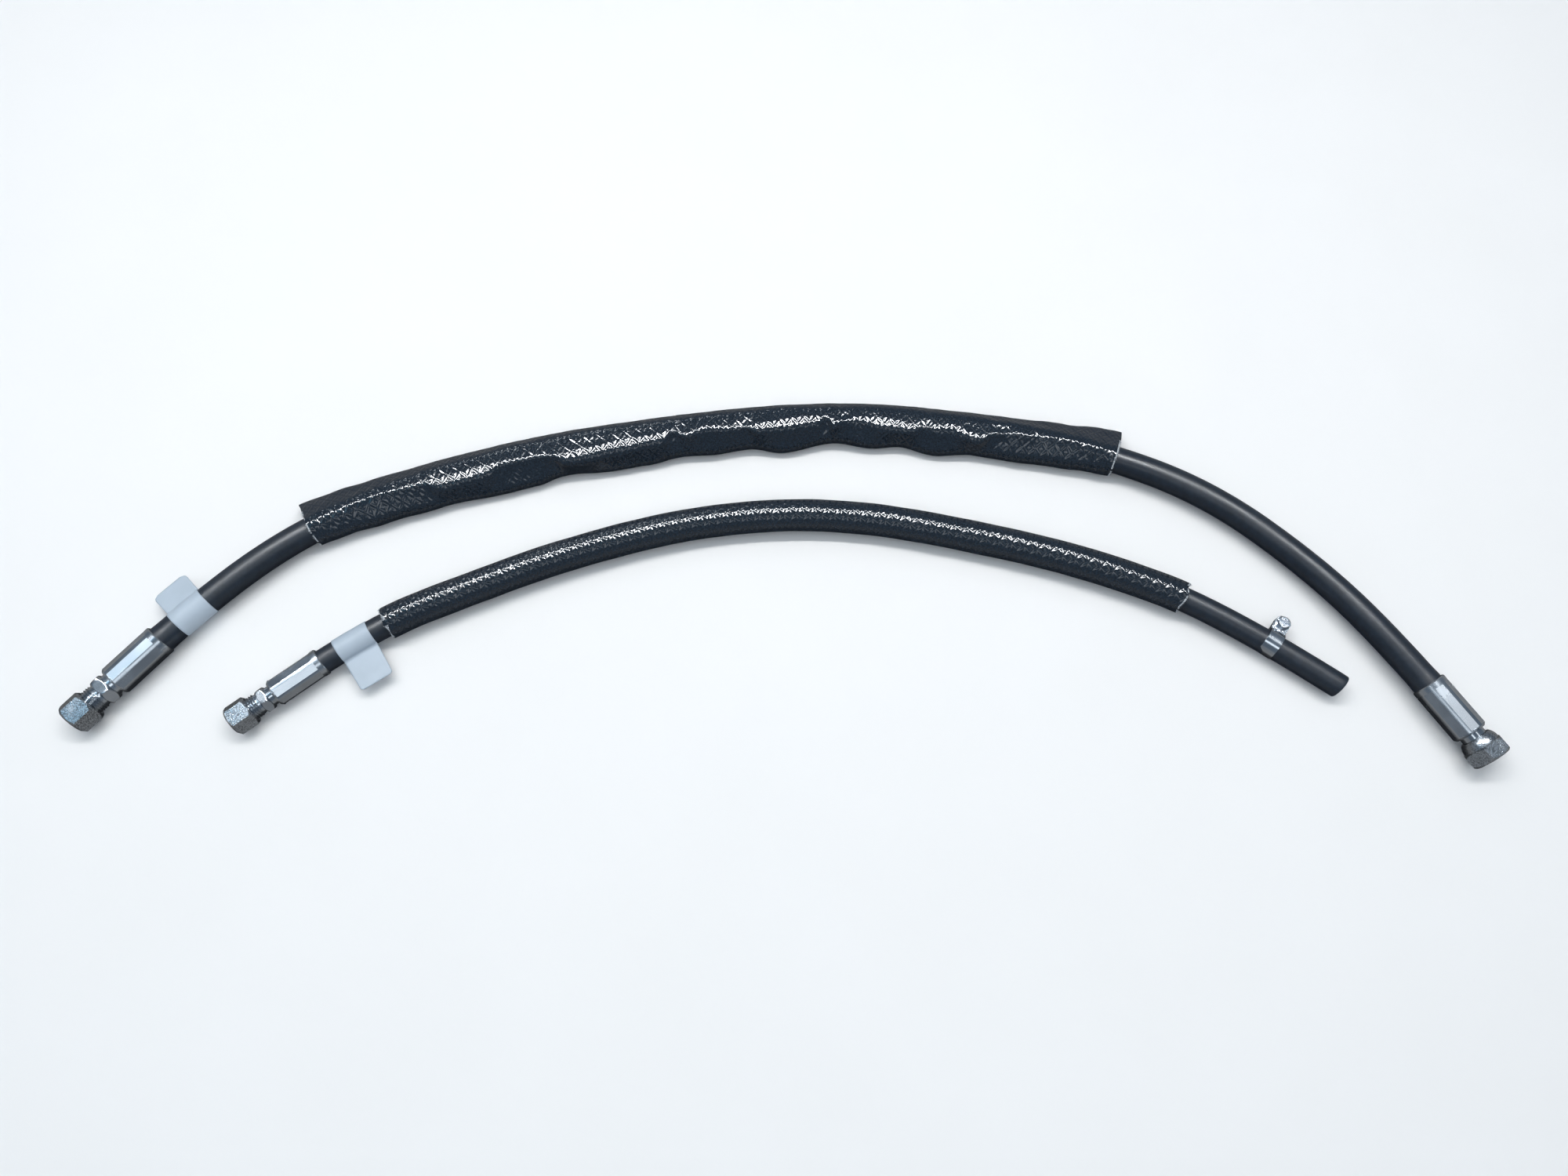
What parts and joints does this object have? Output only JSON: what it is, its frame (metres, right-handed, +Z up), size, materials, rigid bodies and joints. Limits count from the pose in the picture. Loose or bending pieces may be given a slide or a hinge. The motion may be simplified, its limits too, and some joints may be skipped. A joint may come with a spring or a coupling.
{
  "type": "hydraulic hose assembly",
  "caption": "Matched pair of flexible hydraulic hoses in heat sleeves, with crimped ferrules, compression fittings, a swivel nut and a bolt clip.",
  "frame": {"origin": "centre of the sleeves' and fittings' box, on the surface that the two lines lie on", "axes": "+X to the right of the picture, +Y away from the viewer, towards the crowns of the bends, +Z up"},
  "size_m": [0.8396, 0.2375, 0.024],
  "materials": {
    "hose_rubber": "matt black rubber with a soft sheen",
    "hose_braid": "braided steel wire, seen only at the cut end",
    "hose_liner": "smooth dark rubber tube",
    "sleeve": "glossy black coating on woven glass fibre, white fibre at the cut rims",
    "label": "satin off-white film, blank",
    "zinc": "bright zinc plating with a faint blue tint",
    "ring_steel": "hardened steel, phosphated grey",
    "seal": "smooth black rubber"
  },
  "bodies": {
    "supply_line": {"supply_hose_cover": "hose_rubber", "supply_hose_braid": "hose_braid", "supply_hose_liner": "hose_liner", "supply_heat_sleeve": "sleeve", "supply_label": "label", "supply_gland_ferrule": "zinc", "supply_gland_stem": "zinc", "supply_swivel_ferrule": "zinc", "swivel_stem": "zinc", "swivel_seal": "seal"},
    "supply_ring": {"supply_cutting_ring": "ring_steel"},
    "supply_nut": {"supply_gland_nut": "zinc"},
    "swivel": {"swivel_nut": "zinc"},
    "return_line": {"return_hose_cover": "hose_rubber", "return_hose_braid": "hose_braid", "return_hose_liner": "hose_liner", "return_heat_sleeve": "sleeve", "return_label": "label", "return_gland_ferrule": "zinc", "return_gland_stem": "zinc"},
    "return_ring": {"return_cutting_ring": "ring_steel"},
    "return_nut": {"return_gland_nut": "zinc"},
    "clip": {"clip_band": "zinc"},
    "screw": {"clip_screw": "zinc"},
    "screw_nut": {"clip_nut": "zinc"}
  },
  "joints": [
    {"name": "supply_ring_slide", "type": "slide", "parent": "supply_line", "child": "supply_ring", "axis": [-0.6501, -0.7598, 0], "range_m": [-0.00375, 0.003]},
    {"name": "supply_nut_turn", "type": "hinge", "parent": "supply_ring", "child": "supply_nut", "pos_m": [-0.40885, -0.08604, 0.011], "axis": [-0.6501, -0.7598, 0], "range_deg": [-900, 720]},
    {"name": "swivel_turn", "type": "hinge", "parent": "supply_line", "child": "swivel", "pos_m": [0.40871, -0.11066, 0.01273], "axis": [0.5427, -0.8399, 0], "continuous": true},
    {"name": "return_line_lift", "type": "slide", "parent": "supply_line", "child": "return_line", "axis": [0, 0, 1], "range_m": [0, 0.1]},
    {"name": "return_ring_slide", "type": "slide", "parent": "return_line", "child": "return_ring", "axis": [-0.788, -0.6156, 0], "range_m": [-0.003, 0.003]},
    {"name": "return_nut_turn", "type": "hinge", "parent": "return_ring", "child": "return_nut", "pos_m": [-0.31608, -0.08832, 0.00984], "axis": [-0.788, -0.6156, 0], "range_deg": [-720, 720]},
    {"name": "clip_slide", "type": "slide", "parent": "return_line", "child": "clip", "axis": [0.8091, -0.5877, 0], "range_m": [-0.004, 0.038]},
    {"name": "screw_turn", "type": "hinge", "parent": "clip", "child": "screw", "pos_m": [0.30247, -0.03096, 0.009], "axis": [0, 0, 1], "range_deg": [0, 540]},
    {"name": "screw_nut_slide", "type": "slide", "parent": "clip", "child": "screw_nut", "axis": [0, 0, 1], "range_m": [-0.00105, 0]}
  ],
  "couplings": [
    {"joint": "supply_ring_slide", "follows": "supply_nut_turn", "m_per_rad": 0.00023873},
    {"joint": "return_ring_slide", "follows": "return_nut_turn", "m_per_rad": 0.00023873},
    {"joint": "screw_nut_slide", "follows": "screw_turn", "m_per_rad": -0.00011141}
  ]
}
